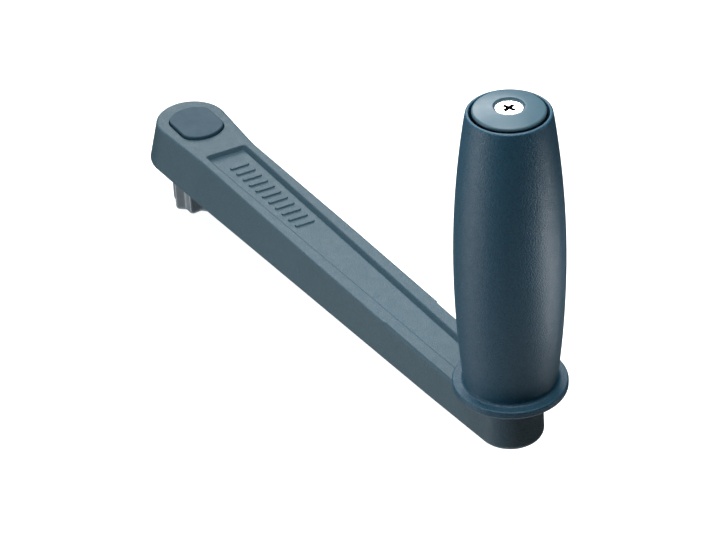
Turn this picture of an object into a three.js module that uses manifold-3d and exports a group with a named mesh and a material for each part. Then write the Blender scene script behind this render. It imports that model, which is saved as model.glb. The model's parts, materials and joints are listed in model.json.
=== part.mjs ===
// Winch handle: a moulded crank arm with an eight-point drive spigot at one end and a
// free-spinning palm grip at the other. Millimetres, +Z up. The origin is on the spigot's
// axis in the plane of the boss's shoulder, and +X runs along the arm to the grip.
import * as THREE from 'three';
import { mergeVertices } from 'three/addons/utils/BufferGeometryUtils.js';
import Module from 'manifold-3d';

const wasm = await Module();
wasm.setup();

// ---- driving dimensions -------------------------------------------------------------
const THROW = 254;                 // spigot axis to grip axis: a 10 inch handle
const GAP = 0.3;                   // clearance between neighbouring pieces
const FINE = 48;                   // facets round a visible turned piece
const COARSE = 24;                 // facets round a small turned piece

// arm
const ARM_TOP = 19.2;              // the bar's flat top above the shoulder
const CREST = { x: 30.5, slope: 0.032 };  // from here the top climbs towards the boss
const ARM_RISE = 3.0;              // how far the underside climbs from the boss to the tip
const FOLD_X = 24;                 // the underside is level as far as this, then climbs
const KINK_X = 33;                 // where the tapering neck meets the bar
const BAR_X = 120;                 // the bar is parallel as far as this, then tapers
const EDGE = 1.0;                  // bevel round the arm's top edge
const SOLE_EDGE = 1.6;             // bevel round the arm's bottom edge
const TOP_SIZE = { boss: 16.5, neck: 13.8, bar: 13.8, tip: 12.9 };
const SOLE_SIZE = { boss: 20.5, tip: 13.4 };
const PANEL = { start: 30.8, end: 233, depth: 2.3, wall: 1.5, startHalf: 10.0, endHalf: 6.4 };
const TIP_STEPS = 10;              // facets round a quarter of the tip
const BOSS_STEPS = 14;             // facets round half of the boss
const POCKET = { top: 14.0, startHalf: 12.2, taper: 0.01, corner: 3 };
const CELLS = [[36, 92], [100, 160], [168, 228]];
const PAD = { foot: 12.6, top: 11.9, z: 25.0 };

// closing plate under the arm
const PLATE = { start: 27, inset: 2.8, thick: 1.8, countersink: 0.5 };
const GASKET = { inset: 4.8, thick: 0.6, start: 29 };
const COVER_SCREWS_X = [31.5, 96, 164, 237];
const COVER_SCREW = { head: 2.9, shank: 1.5, cone: 1.5, length: 9, point: 1.5, sunk: 0.2 };
const FLOAT_CLEARANCE = 0.5;

// spigot: two squares of 11/16 inch across flats, turned 45 degrees to each other
const SPIGOT_FLATS = 17.46;
const SPIGOT_LENGTH = 25;
const SPIGOT_CORNER = 11.9;        // corners are rounded off to this radius
const SPIGOT_CHAMFER = 1.2;
const COLLAR = { flats: 21, corner: 13.2, thick: 2.6 };
const SHANK = { flats: 11.4, corner: 7.0, top: 13.0 };
const O_RING = { middle: 10.9, wire: 0.8, z: 3.9 };
const M6 = 3.0;
const WASHER = 1.2;
const WASHER_Z = SHANK.top + GAP;
const SPIGOT_SCREW = { tip: 3, head: 5.2, height: 2.6, dome: 3.6, socket: 4, grip: 1.8 };

// cap over the spigot's screw, set in the boss's sloping top
const CAP = {
  x: 4.7, radius: 12.8, flat: 10.4, corner: 6, proud: 1.4, depth: 2.7, bevel: 0.4, skin: 1.8,
};
const CAP_HOLLOW = 7.4;            // room under the cap, about the spigot's axis

// grip
const GRIP_FOOT = 26.6;            // underside of the grip's flange
const FLANGE = { radius: 22.84, thick: 3.3, round: 0.8 };
const BELLY = { radius: 21.5, z: 84.3, below: 480, above: 430 };
const GRIP_TOP = 151.8;
const LIP = { outer: 16.4, inner: 14.84, round: 0.7 };
const WELL_FLOOR = 140.2;          // floor of the round well that holds the end cap
const GRIP_WALL = 2.8;
const CORE = { bore: 9.3, tube: 10.8, foot: 13.6, head: 14.5, flange: 3.0, top: 139.7 };
const FIN = { count: 4, reach: 3.4, thick: 1.8 };

// spindle stack
const SPINDLE = { stud: 4.0, shoulder: 8.5, journal: 6.5, foot: 5.6, top: 143.0 };
const SHOULDER_TOP = 27.5;
const RUNNING = 0.3;
const BUSH_RADIUS = 9.0;
const NUT = { flats: 13, high: 6, lift: 0.4 };
const NUT_ROOM = { radius: 8.3, top: 13.8 };
const END_CAP = { radius: 13.87, neck: 12.0, edge: 153.0, crown: 154.3, hole: 5.92, round: 1.1 };
const END_SCREW = { head: 5.28, sunk: 0.9, tip: 128, cone: 2.5, slot: 5.6, slotWide: 1.2 };

// ---- colours ------------------------------------------------------------------------
const finish = (color, roughness, metalness = 0) =>
  new THREE.MeshStandardMaterial({ color, roughness, metalness });
const MATERIALS = {
  arm: finish(0x5a6f7a, 0.6),
  grip: finish(0x32475a, 0.5),
  bossCap: finish(0x536878, 0.55),
  endCap: finish(0x7d909b, 0.35),
  bearing: finish(0xd8d6cc, 0.45),
  core: finish(0x2b2f33, 0.7),
  alloy: finish(0x9aa3a6, 0.4, 0.9),
  stainless: finish(0xc9cdd0, 0.25, 1),
  rubber: finish(0x17191b, 0.85),
  foam: finish(0xe9e4d2, 0.95),
};

// ---- solids -------------------------------------------------------------------------
// One closed indexed body: shared corners merged, slivers dropped, faces pointing out.
function closedBody(geometry) {
  const bare = geometry.index ? geometry.toNonIndexed() : geometry;
  bare.deleteAttribute('normal');
  bare.deleteAttribute('uv');
  const merged = mergeVertices(bare, 1e-4);
  const corner = merged.index.array;
  const point = merged.attributes.position.array;
  const kept = [];
  let volume = 0;
  for (let i = 0; i < corner.length; i += 3) {
    const [a, b, c] = corner.slice(i, i + 3);
    if (a === b || b === c || c === a) continue;
    kept.push(a, b, c);
    const [pa, pb, pc] = [a, b, c].map((k) => new THREE.Vector3().fromArray(point, 3 * k));
    volume += pa.dot(pb.cross(pc));
  }
  merged.setIndex(volume > 0 ? kept : kept.reverse());
  return merged;
}

function solid(geometry) {
  const body = closedBody(geometry);
  return new wasm.Manifold(new wasm.Mesh({
    numProp: 3,
    vertProperties: new Float32Array(body.attributes.position.array),
    triVerts: new Uint32Array(body.index.array),
  }));
}

const joined = (...pieces) => pieces.reduce((whole, piece) => whole.add(piece));
const cut = (whole, ...tools) => tools.reduce((left, tool) => left.subtract(tool), whole);

function geometryOf(manifold) {
  const mesh = manifold.getMesh();
  const geometry = new THREE.BufferGeometry();
  const point = new Float32Array(mesh.numVert * 3);
  for (let i = 0; i < mesh.numVert; i++) {
    for (let k = 0; k < 3; k++) point[3 * i + k] = mesh.vertProperties[mesh.numProp * i + k];
  }
  geometry.setAttribute('position', new THREE.BufferAttribute(point, 3));
  geometry.setIndex([...mesh.triVerts]);
  return geometry;
}

// A profile of [radius, z] pairs turned about an upright axis through [x, 0].
function turned(profile, x = 0, facets = COARSE) {
  const points = profile.map(([radius, z]) => new THREE.Vector2(radius, z));
  return new THREE.LatheGeometry(points, facets).rotateX(Math.PI / 2).translate(x, 0, 0);
}

// A closed ring: the profile comes back to where it starts.
const ring = (profile, x, facets) => turned([...profile, profile[0]], x, facets);
const tube = (inner, outer, low, high, x, facets) =>
  ring([[inner, low], [outer, low], [outer, high], [inner, high]], x, facets);
const drum = (radius, low, high, x, facets) =>
  turned([[0, low], [radius, low], [radius, high], [0, high]], x, facets);

// A flat outline of [x, y] pairs, extruded upwards.
function prism(outline, low, high) {
  const shape = new THREE.Shape(outline.map(([x, y]) => new THREE.Vector2(x, y)));
  return new THREE.ExtrudeGeometry(shape, { depth: high - low, bevelEnabled: false })
    .translate(0, 0, low);
}

// Rings of [x, y, z] that mirror about y = 0, given by their +Y halves from the grip end
// to the boss end, stacked from the lowest up and closed flat at the bottom and the top.
function stacked(halves) {
  const point = [];
  for (const half of halves) {
    point.push(...half.flat());
    for (const [x, y, z] of [...half].reverse()) point.push(x, -y, z);
  }
  const count = halves[0].length * 2;
  const corner = [];
  for (let level = 0; level < halves.length - 1; level++) {
    for (let i = 0; i < count; i++) {
      const [a, b] = [level * count + i, level * count + (i + 1) % count];
      corner.push(a, b, b + count, a, b + count, a + count);
    }
  }
  const top = (halves.length - 1) * count;
  for (let i = 0; i < halves[0].length - 1; i++) {
    const [j, across] = [i + 1, count - 1 - i];
    corner.push(j, i, across, j, across, across - 1);
    corner.push(top + i, top + j, top + across, top + j, top + across - 1, top + across);
  }
  const geometry = new THREE.BufferGeometry();
  geometry.setAttribute('position', new THREE.Float32BufferAttribute(point, 3));
  geometry.setIndex(corner);
  return geometry;
}

// ---- outlines -----------------------------------------------------------------------
const arc = (x, radius, from, to, steps) => Array.from({ length: steps + 1 }, (_, i) => {
  const angle = THREE.MathUtils.degToRad(from + (to - from) * i / steps);
  return [x + radius * Math.cos(angle), radius * Math.sin(angle)];
});
const between = (x, [x0, y0], [x1, y1]) => [x, y0 + (y1 - y0) * (x - x0) / (x1 - x0)];
const HALF_STEP = 4;               // keeps every corner of an end arc off the centre line
const degrees = THREE.MathUtils.radToDeg;

// The arm's top outline, +Y half: round tip, tapering bar, kink, neck and round boss.
function topHalf(inset) {
  const neck = [KINK_X, TOP_SIZE.neck - inset];
  const boss = TOP_SIZE.boss - inset;
  const bearing = degrees(Math.atan2(neck[1], neck[0]) + Math.acos(boss / Math.hypot(...neck)));
  const bossArc = arc(0, boss, bearing, 180 - HALF_STEP, BOSS_STEPS);
  return [
    ...arc(THROW, TOP_SIZE.tip - inset, HALF_STEP, 90, TIP_STEPS),
    [BAR_X, TOP_SIZE.bar - inset],
    neck,
    between(CREST.x, neck, bossArc[0]),
    ...bossArc,
  ];
}

// The arm's bottom outline, +Y half: two circles and the straight lines that touch both.
function soleHalf(inset) {
  const [boss, tip] = [SOLE_SIZE.boss - inset, SOLE_SIZE.tip - inset];
  const touch = degrees(Math.acos((boss - tip) / THROW));
  const tipArc = arc(THROW, tip, HALF_STEP, touch, TIP_STEPS);
  const bossArc = arc(0, boss, touch, 180 - HALF_STEP, BOSS_STEPS);
  const side = (x) => between(x, tipArc[TIP_STEPS], bossArc[0]);
  return [...tipArc, side(BAR_X), side(KINK_X), side(FOLD_X), ...bossArc];
}

const soleZ = (x) => ARM_RISE * Math.max(0, x - FOLD_X) / (THROW + SOLE_SIZE.tip - FOLD_X);
const topZ = (x) => ARM_TOP + CREST.slope * Math.max(0, CREST.x - x);
const atLevel = (half, z) => half.map(([x, y]) => [x, y, z]);
const aboveTop = (half, height) => half.map(([x, y]) => [x, y, topZ(x) + height]);
const aboveSole = (half, height) => half.map(([x, y]) => [x, y, soleZ(x) + height]);

// The plate's outline, +Y half: the bottom outline set in, and cut square at the boss end.
function plateHalf(inset, start) {
  const whole = soleHalf(inset);
  const tip = whole.slice(0, TIP_STEPS + 1);
  return [...tip, between(start, tip[TIP_STEPS], whole[TIP_STEPS + 2])];
}

// One pocket's outline, +Y half, with its corners cut off.
function cellHalf([low, high], clearance) {
  const half = (x) => POCKET.startHalf - POCKET.taper * (x - CELLS[0][0]) - clearance;
  const [near, far] = [low + clearance, high - clearance];
  const corner = POCKET.corner;
  return [
    [far, half(far) - corner],
    [far - corner, half(far)],
    [near + corner, half(near)],
    [near, half(near) - corner],
  ];
}

// A regular polygon across flats, turned, with its corners clipped to a radius.
function flats(count, acrossFlats, corner, turn = 0) {
  const reach = acrossFlats / 2 / Math.cos(Math.PI / count);
  const clip = Math.min(reach, corner);
  const half = Math.acos(Math.min(1, acrossFlats / 2 / clip));
  const points = [];
  for (let i = 0; i < count; i++) {
    const face = turn + 2 * Math.PI * i / count;
    for (const angle of clip < reach ? [face - half, face + half] : [face + half]) {
      points.push([clip * Math.cos(angle), clip * Math.sin(angle)]);
    }
  }
  return points;
}

// The boss cap's outline, +Y half: a circle with flats along the arm and soft corners.
function capHalf(grow) {
  const [radius, flat] = [CAP.radius + grow, CAP.flat + grow];
  const high = flat - CAP.corner;
  const along = Math.sqrt((radius - CAP.corner) ** 2 - high ** 2);
  const turn = degrees(Math.atan2(high, along));
  const nose = arc(0, radius, HALF_STEP, turn, 4);
  const corner = arc(along, CAP.corner, turn, 90, 4).map(([x, y]) => [x, y + high]);
  const quarter = [...nose, ...corner.slice(1)];
  const other = quarter.map(([x, y]) => [-x, y]).reverse();
  return [...quarter, ...other].map(([x, y]) => [x + CAP.x, y]);
}

// ---- the arm ------------------------------------------------------------------------
function armBody() {
  const body = solid(stacked([
    aboveSole(soleHalf(SOLE_EDGE), 0),
    aboveSole(soleHalf(0), SOLE_EDGE),
    aboveTop(topHalf(0), -EDGE),
    aboveTop(topHalf(EDGE), 0),
  ]));
  const pad = solid(turned([
    [0, POCKET.top], [PAD.foot, POCKET.top], [PAD.foot, ARM_TOP], [PAD.top, PAD.z], [0, PAD.z],
  ], THROW, FINE));
  const panelEdge = (z, spread) => atLevel([
    [PANEL.end + spread, PANEL.endHalf + spread],
    [PANEL.start - spread / 2, PANEL.startHalf + spread],
  ], z);
  const panel = solid(stacked([
    panelEdge(ARM_TOP - PANEL.depth, -PANEL.wall),
    panelEdge(ARM_TOP + PANEL.depth, PANEL.wall),
  ]));
  const rebateHeight = PLATE.thick + GASKET.thick + 2 * GAP;
  const rebate = solid(stacked([
    aboveSole(plateHalf(PLATE.inset - GAP, PLATE.start - GAP), -1),
    aboveSole(plateHalf(PLATE.inset - GAP, PLATE.start - GAP), rebateHeight),
  ]));
  const cells = CELLS.map((cell) => solid(stacked([
    atLevel(cellHalf(cell, 0), 0), atLevel(cellHalf(cell, 0), POCKET.top),
  ])));
  const screwHoles = COVER_SCREWS_X.map((x) =>
    solid(drum(COVER_SCREW.shank + GAP, 0, soleZ(x) + COVER_SCREW.length + 1, x)));
  const bossRooms = [
    solid(prism(flats(4, COLLAR.flats + 2 * GAP, COLLAR.corner + GAP), -1, COLLAR.thick + GAP)),
    solid(drum(O_RING.middle + O_RING.wire + GAP, -1, O_RING.z + O_RING.wire + GAP)),
    solid(prism(flats(4, SHANK.flats + 2 * GAP, SHANK.corner + GAP), 0, SHANK.top + 1)),
    solid(drum(CAP_HOLLOW, SHANK.top, ARM_TOP)),
    solid(stacked([
      atLevel(capHalf(GAP), ARM_TOP - CAP.depth - GAP), atLevel(capHalf(GAP), ARM_TOP + PANEL.depth),
    ])),
  ];
  const nutRoom = solid(drum(NUT_ROOM.radius, 0, NUT_ROOM.top, THROW));
  const studHole = solid(drum(SPINDLE.stud + GAP, 0, PAD.z + 1, THROW));
  return geometryOf(cut(
    joined(cut(body, panel), pad),
    rebate, ...cells, ...screwHoles, ...bossRooms, nutRoom, studHole));
}

function bottomCover() {
  const plate = solid(stacked([
    aboveSole(plateHalf(PLATE.inset, PLATE.start), 0),
    aboveSole(plateHalf(PLATE.inset, PLATE.start), PLATE.thick),
  ]));
  const { head, shank, cone, sunk } = COVER_SCREW;
  const [mouth, throat] = [head + PLATE.countersink, shank + GAP];
  const holes = COVER_SCREWS_X.map((x) => {
    const z = soleZ(x);
    return solid(turned([
      [0, z - 1], [mouth, z - 1], [mouth, z], [throat, z + cone + sunk],
      [throat, z + PLATE.thick + 1], [0, z + PLATE.thick + 1],
    ], x));
  });
  return geometryOf(cut(plate, ...holes));
}

function coverGasket() {
  const low = PLATE.thick + GAP;
  const outer = plateHalf(PLATE.inset, PLATE.start);
  const inner = plateHalf(GASKET.inset, GASKET.start);
  const sheet = solid(stacked([aboveSole(outer, low), aboveSole(outer, low + GASKET.thick)]));
  const window = solid(stacked([
    aboveSole(inner, low - 1), aboveSole(inner, low + GASKET.thick + 1)]));
  return geometryOf(cut(sheet, window));
}

function coverScrew(x) {
  const { head, shank, cone, length, point, sunk } = COVER_SCREW;
  const z = soleZ(x) + sunk;
  return turned([
    [0, z], [head, z], [shank, z + cone], [shank, z + length - point], [0, z + length],
  ], x);
}

function floatCore([low, high]) {
  const half = cellHalf([low, high], FLOAT_CLEARANCE);
  const floor = soleZ(high) + PLATE.thick + GASKET.thick + 3 * GAP;
  return stacked([atLevel(half, floor), atLevel(half, POCKET.top - FLOAT_CLEARANCE)]);
}

// ---- the spigot ---------------------------------------------------------------------
function driveSpigot() {
  const star = joined(...[0, Math.PI / 4].map((turn) =>
    solid(prism(flats(4, SPIGOT_FLATS, SPIGOT_CORNER, turn), -SPIGOT_LENGTH, 0.5))));
  const nose = solid(turned([
    [0, -SPIGOT_LENGTH - 1], [SPIGOT_CORNER - SPIGOT_CHAMFER, -SPIGOT_LENGTH - 1],
    [SPIGOT_CORNER - SPIGOT_CHAMFER, -SPIGOT_LENGTH],
    [SPIGOT_CORNER + 0.2, -SPIGOT_LENGTH + SPIGOT_CHAMFER + 0.2], [SPIGOT_CORNER + 0.2, 1], [0, 1],
  ], 0, FINE));
  const bar = star.intersect(nose);
  const collar = solid(prism(flats(4, COLLAR.flats, COLLAR.corner), 0, COLLAR.thick));
  const shank = solid(prism(flats(4, SHANK.flats, SHANK.corner), 1, SHANK.top));
  const thread = solid(drum(M6 + GAP, 1, SHANK.top + 1));
  return geometryOf(cut(joined(bar, collar, shank), thread));
}

function spigotORing() {
  const { middle, wire, z } = O_RING;
  const section = Array.from({ length: 8 }, (_, i) => {
    const angle = Math.PI * i / 4;
    return [middle + wire * Math.cos(angle), z + wire * Math.sin(angle)];
  });
  return ring(section, 0);
}

function spigotScrew() {
  const { tip, head, height, dome, socket, grip } = SPIGOT_SCREW;
  const seat = WASHER_Z + WASHER + GAP;
  const crown = seat + height;
  const body = solid(turned([
    [0, tip], [M6, tip], [M6, seat], [head, seat], [head - 0.2, crown - 1], [dome, crown],
    [0, crown],
  ]));
  return geometryOf(cut(body, solid(prism(flats(6, socket, socket), crown - grip, crown + 1))));
}

function bossCap() {
  const plug = solid(stacked([
    atLevel(capHalf(0), ARM_TOP - CAP.depth),
    aboveTop(capHalf(0), CAP.proud - CAP.bevel),
    aboveTop(capHalf(-CAP.bevel), CAP.proud),
  ]));
  const hollow = solid(drum(CAP_HOLLOW - GAP, 0, ARM_TOP + CAP.proud - CAP.skin));
  return geometryOf(cut(plug, hollow));
}

// ---- the grip -----------------------------------------------------------------------
// The barrel swells on two arcs that meet at the belly.
function barrelRadius(z) {
  const { radius, z: middle, below, above } = BELLY;
  return radius - (z - middle) ** 2 / (2 * (z < middle ? below : above));
}

function gripShell() {
  const heights = (from, to, steps) =>
    Array.from({ length: steps + 1 }, (_, i) => from + (to - from) * i / steps);
  const flangeTop = GRIP_FOOT + FLANGE.thick;
  const outside = heights(flangeTop + 1.6, GRIP_TOP - 1.4, 9).map((z) => [barrelRadius(z), z]);
  const inside = heights(WELL_FLOOR - 3, GRIP_FOOT + 6, 5).map((z) =>
    [barrelRadius(z) - GRIP_WALL, z]);
  const { radius, round } = FLANGE;
  return ring([
    [CORE.foot + GAP, GRIP_FOOT],
    [radius - round, GRIP_FOOT], [radius, GRIP_FOOT + round],
    [radius, flangeTop - round], [radius - round, flangeTop],
    [barrelRadius(flangeTop) + 1.2, flangeTop],
    ...outside,
    [LIP.outer, GRIP_TOP - LIP.round], [LIP.outer - 0.5, GRIP_TOP],
    [LIP.inner + 0.4, GRIP_TOP], [LIP.inner, GRIP_TOP - 0.5],
    [LIP.inner, WELL_FLOOR - 3],
    ...inside.filter(([r]) => r > LIP.inner),
    [CORE.foot + GAP, GRIP_FOOT + 4],
  ], THROW, FINE);
}

function gripCore() {
  const { bore, tube: wall, foot, head, flange, top } = CORE;
  const low = GRIP_FOOT + 0.2;
  const spool = solid(ring([
    [bore, low], [foot, low], [foot, low + flange], [wall, low + flange],
    [wall, top - flange], [head, top - flange], [head, top], [bore, top],
  ], THROW, FINE));
  const fins = Array.from({ length: FIN.count }, (_, i) => {
    const blade = new THREE.BoxGeometry(FIN.reach, FIN.thick, top - low - 2 * flange + 1);
    blade.translate(wall + FIN.reach / 2 - 0.5, 0, (low + top) / 2);
    blade.rotateZ(2 * Math.PI * (i + 0.5) / FIN.count).translate(THROW, 0, 0);
    return solid(blade);
  });
  return geometryOf(joined(spool, ...fins));
}

function spindle() {
  const { stud, shoulder, journal, foot, top } = SPINDLE;
  return turned([
    [0, foot], [stud, foot], [stud, PAD.z + GAP], [shoulder, PAD.z + GAP],
    [shoulder, SHOULDER_TOP], [journal, SHOULDER_TOP], [journal, top - 0.5], [journal - 0.5, top],
    [M6 + GAP, top], [M6 + GAP, END_SCREW.tip - 1], [0, END_SCREW.tip - 1],
  ], THROW);
}

function spindleNut() {
  const hexagon = flats(6, NUT.flats, NUT.flats).map(([x, y]) => [x + THROW, y]);
  const low = SPINDLE.foot + NUT.lift;
  const body = solid(prism(hexagon, low, low + NUT.high));
  return geometryOf(cut(body, solid(drum(SPINDLE.stud + GAP, 0, low + NUT.high + 1, THROW))));
}

function endCap() {
  const { radius, neck, edge, crown, hole, round } = END_CAP;
  const shoulder = radius - round / 2;
  const dome = Array.from({ length: 7 }, (_, i) => {
    const r = shoulder + (hole - shoulder) * i / 6;
    return [r, crown - (crown - edge) * (r ** 2 - hole ** 2) / (shoulder ** 2 - hole ** 2)];
  });
  const low = SPINDLE.top + 2 * GAP + WASHER;
  return ring([
    [M6 + GAP, low], [neck, low], [neck, edge - 2 * round],
    [shoulder, edge - 2 * round], [radius, edge - 1.4 * round], [radius, edge - 0.6 * round],
    ...dome,
    [hole - 0.25, crown - END_SCREW.sunk - 0.1], [M6 + GAP, crown - END_SCREW.sunk - 2.8],
  ], THROW, FINE);
}

function endCapScrew() {
  const { head, sunk, tip, cone, slot: length, slotWide } = END_SCREW;
  const top = END_CAP.crown - sunk;
  const body = solid(turned([
    [0, tip], [M6 - 0.6, tip], [M6, tip + 1], [M6, top - cone],
    [head, top - 0.3], [head, top - 0.1], [head - 0.3, top], [0, top],
  ], THROW));
  const slots = [45, 135].map((turn) => {
    const slot = new THREE.BoxGeometry(length, slotWide, 2);
    slot.rotateZ(THREE.MathUtils.degToRad(turn)).translate(THROW, 0, top - 0.6);
    return solid(slot);
  });
  return geometryOf(cut(body, ...slots));
}

// ---- assembly -----------------------------------------------------------------------
const handle = new THREE.Group();

function add(name, geometry, material) {
  const mesh = new THREE.Mesh(closedBody(geometry), material);
  mesh.name = name;
  handle.add(mesh);
}

add('arm_body', armBody(), MATERIALS.arm);
add('bottom_cover', bottomCover(), MATERIALS.arm);
add('cover_gasket', coverGasket(), MATERIALS.rubber);
COVER_SCREWS_X.forEach((x, i) => add(`cover_screw_${i + 1}`, coverScrew(x), MATERIALS.stainless));
CELLS.forEach((cell, i) => add(`float_core_${i + 1}`, floatCore(cell), MATERIALS.foam));

add('drive_spigot', driveSpigot(), MATERIALS.alloy);
add('spigot_o_ring', spigotORing(), MATERIALS.rubber);
add('spigot_washer',
  tube(M6 + GAP, CAP_HOLLOW - GAP, WASHER_Z, WASHER_Z + WASHER),
  MATERIALS.stainless);
add('spigot_screw', spigotScrew(), MATERIALS.stainless);
add('boss_cap', bossCap(), MATERIALS.bossCap);

add('spindle', spindle(), MATERIALS.stainless);
add('spindle_nut', spindleNut(), MATERIALS.stainless);
add('spindle_washer',
  tube(SPINDLE.stud + GAP, NUT_ROOM.radius - GAP, NUT_ROOM.top - WASHER - GAP, NUT_ROOM.top - GAP,
    THROW),
  MATERIALS.stainless);
add('thrust_washer',
  tube(SPINDLE.shoulder + GAP, PAD.top - 0.1, PAD.z + GAP, GRIP_FOOT - GAP, THROW),
  MATERIALS.bearing);

add('grip_shell', gripShell(), MATERIALS.grip);
add('grip_core', gripCore(), MATERIALS.core);
add('lower_bush',
  tube(SPINDLE.journal + RUNNING, BUSH_RADIUS, SHOULDER_TOP + 0.5, SHOULDER_TOP + 15, THROW),
  MATERIALS.bearing);
add('upper_bush', ring([
  [SPINDLE.journal + RUNNING, CORE.top - 14], [BUSH_RADIUS, CORE.top - 14],
  [BUSH_RADIUS, CORE.top + GAP], [BUSH_RADIUS + 1.6, CORE.top + GAP],
  [BUSH_RADIUS + 1.6, CORE.top + 1.5], [SPINDLE.journal + RUNNING, CORE.top + 1.5],
], THROW), MATERIALS.bearing);

add('wave_washer',
  tube(SPINDLE.journal + GAP, BUSH_RADIUS + 1.4, CORE.top + 1.9, SPINDLE.top - GAP, THROW),
  MATERIALS.stainless);
add('retaining_washer',
  tube(M6 + GAP, BUSH_RADIUS + 2, SPINDLE.top + GAP, SPINDLE.top + GAP + WASHER, THROW),
  MATERIALS.stainless);
add('end_cap', endCap(), MATERIALS.endCap);
add('end_cap_screw', endCapScrew(), MATERIALS.stainless);

export default handle;
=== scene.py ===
"""The looks of a winch handle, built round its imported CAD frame.

Shapes are worked out in millimetres and made in metres, in the frame of the part: the origin
is on the spigot's axis under the boss, +X runs along the arm to the grip, and +Z is up.
"""

import json
import math

import bmesh
import bpy
from mathutils import Matrix, Vector
from mathutils.geometry import tessellate_polygon


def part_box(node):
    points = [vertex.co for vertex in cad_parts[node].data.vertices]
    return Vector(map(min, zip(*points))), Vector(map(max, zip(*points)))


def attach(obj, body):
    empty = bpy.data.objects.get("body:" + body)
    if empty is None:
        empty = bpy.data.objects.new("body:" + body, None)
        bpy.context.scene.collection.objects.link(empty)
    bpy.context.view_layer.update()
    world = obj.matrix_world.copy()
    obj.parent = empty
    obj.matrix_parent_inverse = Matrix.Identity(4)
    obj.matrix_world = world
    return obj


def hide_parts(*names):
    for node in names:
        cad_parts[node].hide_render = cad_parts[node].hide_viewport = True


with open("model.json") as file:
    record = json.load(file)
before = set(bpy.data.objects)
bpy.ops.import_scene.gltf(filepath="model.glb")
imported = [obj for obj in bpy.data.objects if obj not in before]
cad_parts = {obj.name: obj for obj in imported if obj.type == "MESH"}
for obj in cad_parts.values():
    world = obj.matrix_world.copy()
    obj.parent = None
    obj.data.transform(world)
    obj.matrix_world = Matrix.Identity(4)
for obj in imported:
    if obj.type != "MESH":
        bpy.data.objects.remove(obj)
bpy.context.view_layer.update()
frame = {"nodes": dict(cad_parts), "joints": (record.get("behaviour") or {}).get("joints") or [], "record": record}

MM = 0.001
GAP = 0.3  # clearance between neighbouring pieces
FACETS = 128  # round a large turned piece
SMALL_FACETS = 64  # round a small turned piece

record = frame["record"]
BODY = {node: body for body, nodes in record["behaviour"]["bodies"].items() for node in nodes}


def low(node):
    """The lowest corner of a CAD node's box, in millimetres."""
    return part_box(node)[0] / MM


def high(node):
    """The highest corner of a CAD node's box, in millimetres."""
    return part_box(node)[1] / MM


# ---- sizes --------------------------------------------------------------------------
THROW = frame["joints"][0]["pos_m"][0] / MM  # from the spigot's axis to the grip's
ARM_TOP = 19.2
CREST_X, CREST_SLOPE = 30.5, 0.032  # from here the top climbs towards the boss
PAD_TOP = high("arm_body").z
ARM_RISE = 3.0  # how far the underside climbs to the tip
FOLD_X = 24.0  # the underside is level as far as this
KINK_X = 33.0  # the neck meets the bar
BAR_X = 120.0  # the bar tapers from here to the tip
BAND_X = 183.0  # the edge turns from a round into a flat bevel
BAND_LENGTH = 0.8  # the turn takes this much of the edge
STEP_X = 216.0  # the lands step up by a little here
STEP = 0.25
STEP_LENGTH = 0.2
TIP_EDGE_X = 246.0  # the bevel shrinks from here to the tip
BOSS_TOP, BAR_TOP, TIP_TOP = 16.5, 13.8, 12.9  # half widths of the top outline
BOSS_SOLE = -low("arm_body").x
TIP_SOLE = high("arm_body").x - THROW
PAD_FOOT, PAD_HEAD = 12.6, 11.9


# ---- mesh kit -----------------------------------------------------------------------
BROAD = 20  # square millimetres, from where two flats meet in a crisp fold
FOLD_CREASE = 1.2  # degrees


class Skin:
    """A closed mesh put together from loops of corners."""

    def __init__(self):
        self.mesh = bmesh.new()
        self.tone = 0  # which of the piece's materials new faces take

    def face(self, corners):
        self.mesh.faces.new(corners).material_index = self.tone

    def loop(self, points):
        return [self.mesh.verts.new(Vector(point) * MM) for point in points]

    def band(self, first, second):
        """Faces between two loops of equal length, or between a loop and a single corner."""
        count = max(len(first), len(second))
        for i in range(count):
            j = (i + 1) % count
            corners = (first[i % len(first)], first[j % len(first)],
                       second[j % len(second)], second[i % len(second)])
            self.face(dict.fromkeys(corners))

    def wall(self, rings, start=None):
        """Bands through rings of points, from the loop start if it is given."""
        loops = [start] if start else []
        loops += [self.loop(ring) for ring in rings]
        for first, second in zip(loops, loops[1:]):
            self.band(first, second)
        return loops[0], loops[-1]

    def fill(self, outer, *holes):
        """The face inside one loop and outside the others."""
        loops = [outer, *holes]
        corners = [corner for loop in loops for corner in loop]
        plan = [[Vector((corner.co.x, corner.co.y, 0)) / MM for corner in loop] for loop in loops]
        for triangle in tessellate_polygon(plan):
            self.face([corners[i] for i in triangle])

    def turn(self, profile, x=0.0, closed=False, facets=FACETS):
        """Turns a profile of (radius, z) pairs about an upright axis."""
        loops = []
        for radius, z in profile:
            ring = circle(radius, z, x, facets) if radius > 0 else [(x, 0, z)]
            loops.append(self.loop(ring))
        for first, second in zip(loops, loops[1:] + loops[:1] if closed else loops[1:]):
            self.band(first, second)

    def piece(self, node, *looks, crease=30):
        """Turns the mesh into the visible piece that stands for a CAD node."""
        bmesh.ops.recalc_face_normals(self.mesh, faces=self.mesh.faces)
        for face in self.mesh.faces:
            face.smooth = True
        for edge in self.mesh.edges:
            angle = math.degrees(edge.calc_face_angle(0))
            broad = min(face.calc_area() for face in edge.link_faces) > BROAD * MM ** 2
            edge.smooth = angle < (FOLD_CREASE if broad else crease)
        mesh = bpy.data.meshes.new("fine_" + node)
        self.mesh.to_mesh(mesh)
        self.mesh.free()
        for look in looks:
            mesh.materials.append(look)
        thing = bpy.data.objects.new(mesh.name, mesh)
        bpy.context.scene.collection.objects.link(thing)
        normals = thing.modifiers.new("normals", "WEIGHTED_NORMAL")
        normals.keep_sharp = True
        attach(thing, BODY[node])
        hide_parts(node)
        return thing


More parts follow.
